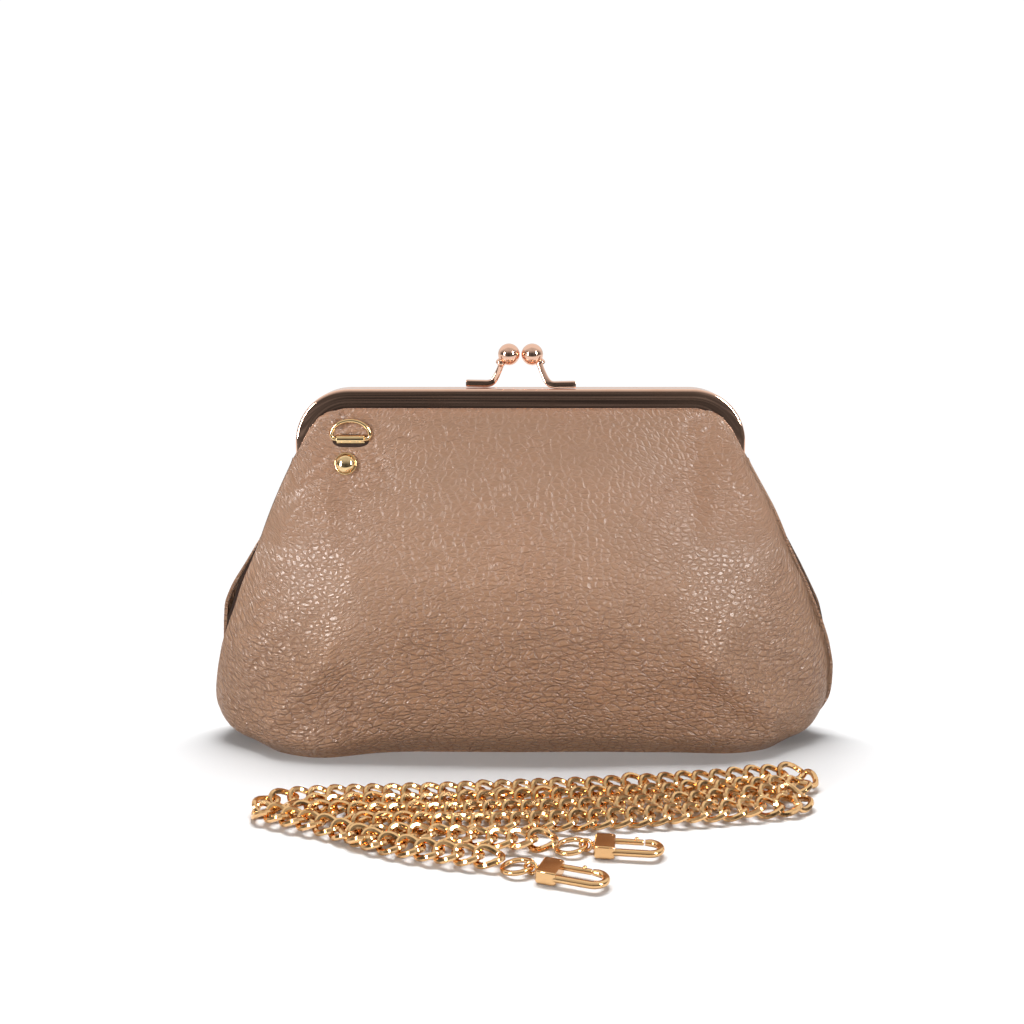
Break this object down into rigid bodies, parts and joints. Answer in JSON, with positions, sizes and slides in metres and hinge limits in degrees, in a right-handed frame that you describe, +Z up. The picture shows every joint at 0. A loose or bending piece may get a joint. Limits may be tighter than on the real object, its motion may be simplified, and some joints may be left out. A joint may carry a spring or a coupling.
{
  "type": "coin purse",
  "caption": "Kiss-lock frame purse in pebbled leather with two D-rings and a detachable curb-chain strap with snap clasps.",
  "frame": {"origin": "centre of the purse's base on the surface it stands on, without the loose strap", "axes": "+Z up, +X along the frame, the front panel faces -Y"},
  "size_m": [0.2602, 0.1692, 0.1653],
  "materials": {
    "leather": "pebbled grain, semi-gloss",
    "lining": "plain weave",
    "wadding": "felt",
    "board": "matt",
    "paper_cord": "twisted",
    "rose_gold": "rose-gold plating, polished",
    "pale_gold": "pale-gold plating, polished",
    "chain_gold": "warm-gold plating, polished"
  },
  "bodies": {
    "purse_body": {"left_hinge_rivet": "rose_gold", "right_hinge_rivet": "rose_gold", "front_leather_body": "leather", "rear_leather_body": "leather", "front_wadding": "wadding", "rear_wadding": "wadding", "front_lining_body": "lining", "rear_lining_body": "lining", "slip_pocket": "lining", "base_board": "board"},
    "front_frame": {"front_frame_half": "rose_gold", "front_leather_throat": "leather", "front_lining_throat": "lining", "front_channel_cord": "paper_cord", "front_lock_lever": "rose_gold", "front_lock_ball": "rose_gold", "front_ring_hanger": "pale_gold", "front_ring_rivet": "pale_gold"},
    "rear_frame": {"rear_frame_half": "rose_gold", "rear_leather_throat": "leather", "rear_lining_throat": "lining", "rear_channel_cord": "paper_cord", "rear_lock_lever": "rose_gold", "rear_lock_ball": "rose_gold", "rear_ring_hanger": "pale_gold", "rear_ring_rivet": "pale_gold"},
    "front_ring": {"front_d_ring": "pale_gold"},
    "rear_ring": {"rear_d_ring": "pale_gold"},
    "strap": {"chain_hank": "chain_gold", "chain_tail_a": "chain_gold", "chain_tail_b": "chain_gold", "clasp_a_swivel": "chain_gold", "clasp_a_ring": "chain_gold", "clasp_b_swivel": "chain_gold", "clasp_b_ring": "chain_gold"},
    "clasp_a": {"clasp_a_hook": "chain_gold", "clasp_a_gate_pin": "chain_gold"},
    "clasp_b": {"clasp_b_hook": "chain_gold", "clasp_b_gate_pin": "chain_gold"},
    "clasp_a_lever": {"clasp_a_gate": "chain_gold"},
    "clasp_b_lever": {"clasp_b_gate": "chain_gold"}
  },
  "joints": [
    {"name": "front_frame_hinge", "type": "hinge", "parent": "purse_body", "child": "front_frame", "pos_m": [0, 0, 0.11], "axis": [1, 0, 0], "range_deg": [0, 45], "deforming": ["front_leather_throat", "front_lining_throat"]},
    {"name": "rear_frame_hinge", "type": "hinge", "parent": "purse_body", "child": "rear_frame", "pos_m": [0, 0, 0.11], "axis": [-1, 0, 0], "range_deg": [0, 45], "deforming": ["rear_leather_throat", "rear_lining_throat"]},
    {"name": "front_ring_swing", "type": "hinge", "parent": "front_frame", "child": "front_ring", "pos_m": [-0.0684, -0.00742, 0.1275], "axis": [1, 0, 0], "range_deg": [0, 138]},
    {"name": "rear_ring_swing", "type": "hinge", "parent": "rear_frame", "child": "rear_ring", "pos_m": [0.0684, 0.00742, 0.1275], "axis": [-1, 0, 0], "range_deg": [0, 138]},
    {"name": "strap_lift_off", "type": "slide", "parent": "purse_body", "child": "strap", "axis": [0, -1, 0], "range_m": [0, 0.12]},
    {"name": "clasp_a_turn", "type": "hinge", "parent": "strap", "child": "clasp_a", "pos_m": [0.0244, -0.1096, 0.0027], "axis": [0.9925, -0.1219, 0], "continuous": true},
    {"name": "clasp_b_turn", "type": "hinge", "parent": "strap", "child": "clasp_b", "pos_m": [0.0054, -0.1262, 0.0027], "axis": [0.9397, -0.342, 0], "continuous": true},
    {"name": "clasp_a_gate_push", "type": "hinge", "parent": "clasp_a", "child": "clasp_a_lever", "pos_m": [0.03065, -0.10629, 0.0027], "axis": [0, 0, -1], "range_deg": [0, 22], "stiffness_Nm_per_rad": 0.004},
    {"name": "clasp_b_gate_push", "type": "hinge", "parent": "clasp_b", "child": "clasp_b_lever", "pos_m": [0.01223, -0.12438, 0.0027], "axis": [0, 0, -1], "range_deg": [0, 22], "stiffness_Nm_per_rad": 0.004}
  ],
  "couplings": [
    {"joint": "rear_frame_hinge", "follows": "front_frame_hinge", "ratio": 1}
  ]
}
